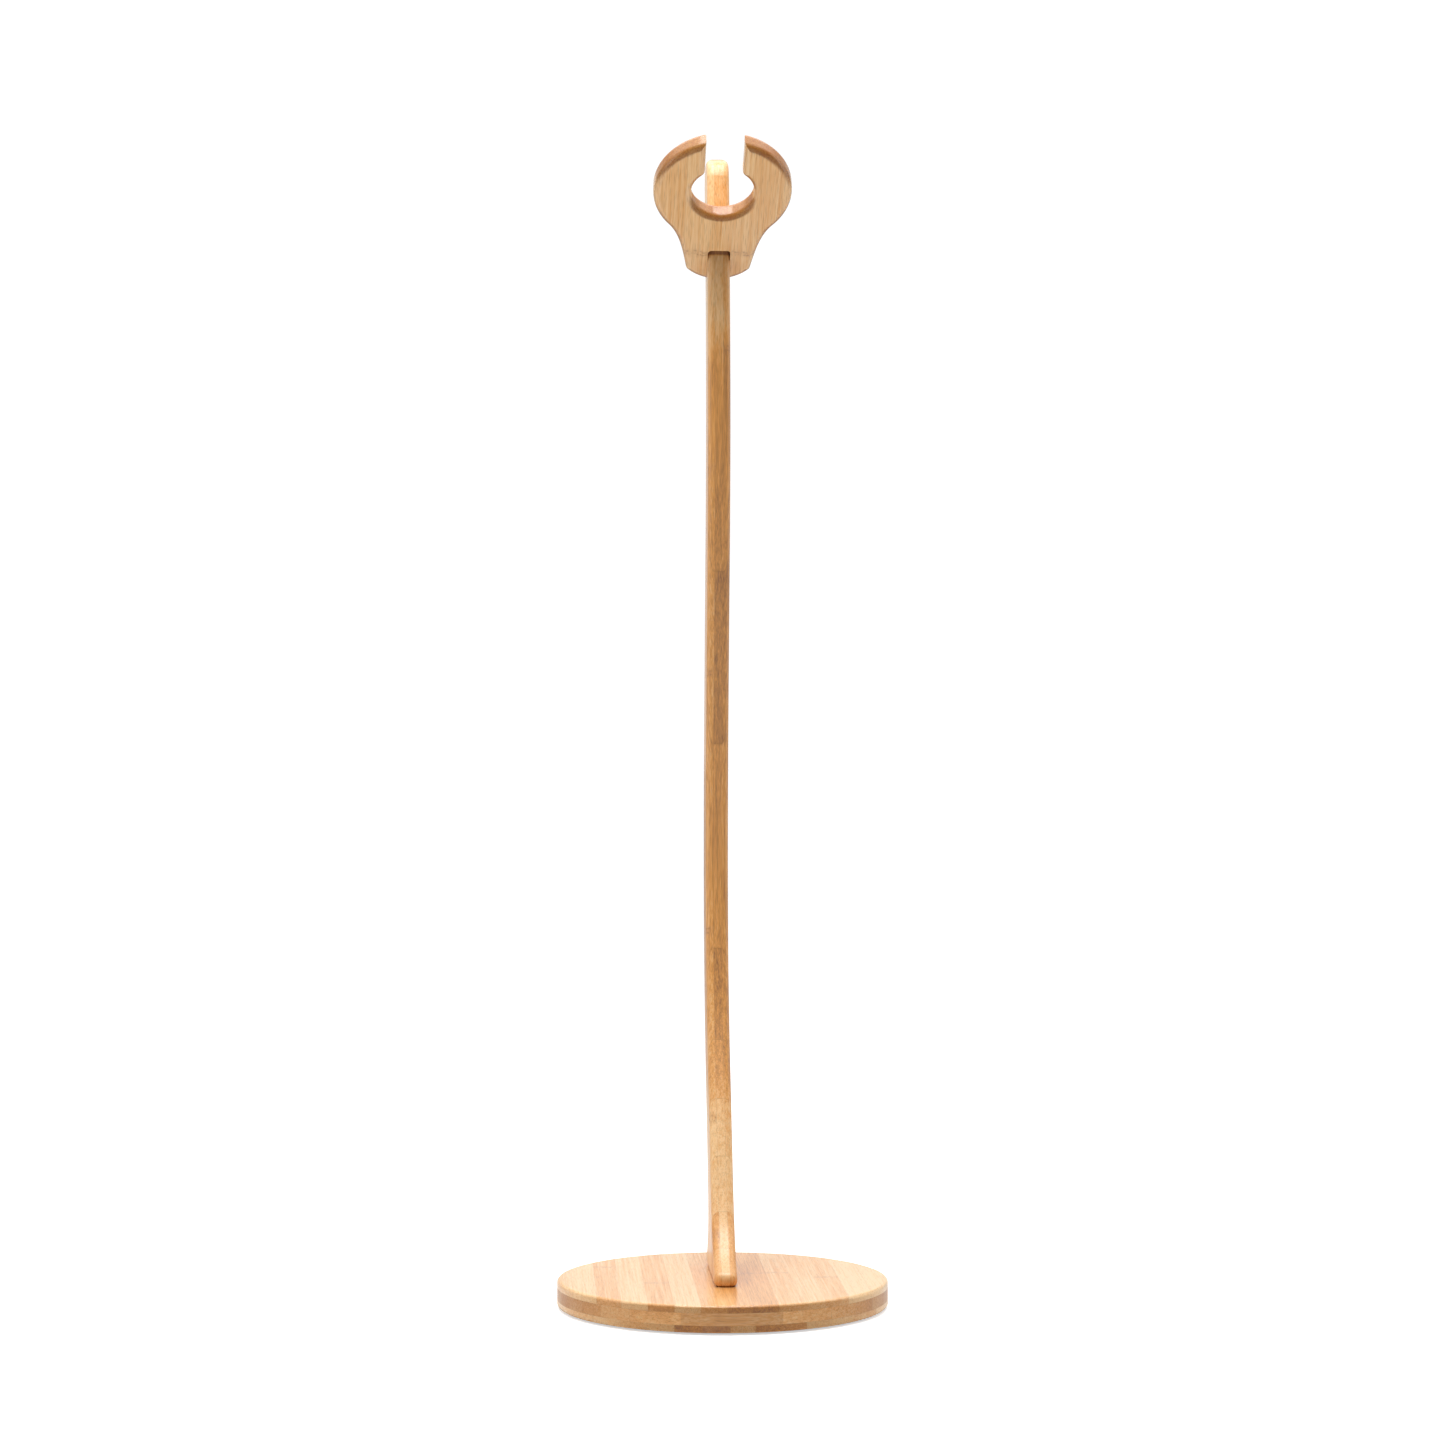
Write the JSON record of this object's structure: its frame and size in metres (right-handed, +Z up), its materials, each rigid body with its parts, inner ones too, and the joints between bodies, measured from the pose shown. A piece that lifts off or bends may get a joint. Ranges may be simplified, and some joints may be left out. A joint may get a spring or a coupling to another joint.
{
  "type": "slotted cradle stand",
  "caption": "Tall free-standing bamboo stand: round base, slim bowed upright and a forward-sloping cradle plate with a round hole open to the front through a slot.",
  "frame": {"origin": "centre of the rest plane under the foot pads, on the base disc's axis", "axes": "+Z up, the cradle reaches forward to -Y, the upright bows back to +Y, +X to the right seen from the front"},
  "size_m": [0.25, 0.25, 0.8795],
  "materials": {
    "bamboo_base_face": "gloss clear lacquer over pale front-to-back strips",
    "bamboo_base_core": "gloss clear lacquer over one cross-laid ply",
    "bamboo_upright": "gloss clear lacquer, honey bamboo with upright grain",
    "bamboo_upright_core": "gloss clear lacquer, middle ply between two glue lines",
    "bamboo_cradle": "gloss clear lacquer, strips running up the plate",
    "dowel_wood": "bare turned dowel and plug",
    "screw_steel": "zinc-plated wood screw",
    "pad_rubber": "matt black moulded pad"
  },
  "bodies": {
    "root": {"base_top_ply": "bamboo_base_face", "base_core_ply": "bamboo_base_core", "base_bottom_ply": "bamboo_base_face", "upright_left_ply": "bamboo_upright", "upright_core_ply": "bamboo_upright_core", "upright_right_ply": "bamboo_upright", "cradle_plate": "bamboo_cradle", "cradle_screw": "screw_steel", "screw_plug": "dowel_wood", "foot_screws": "screw_steel", "foot_dowels": "dowel_wood", "foot_pads": "pad_rubber"}
  },
  "joints": []
}
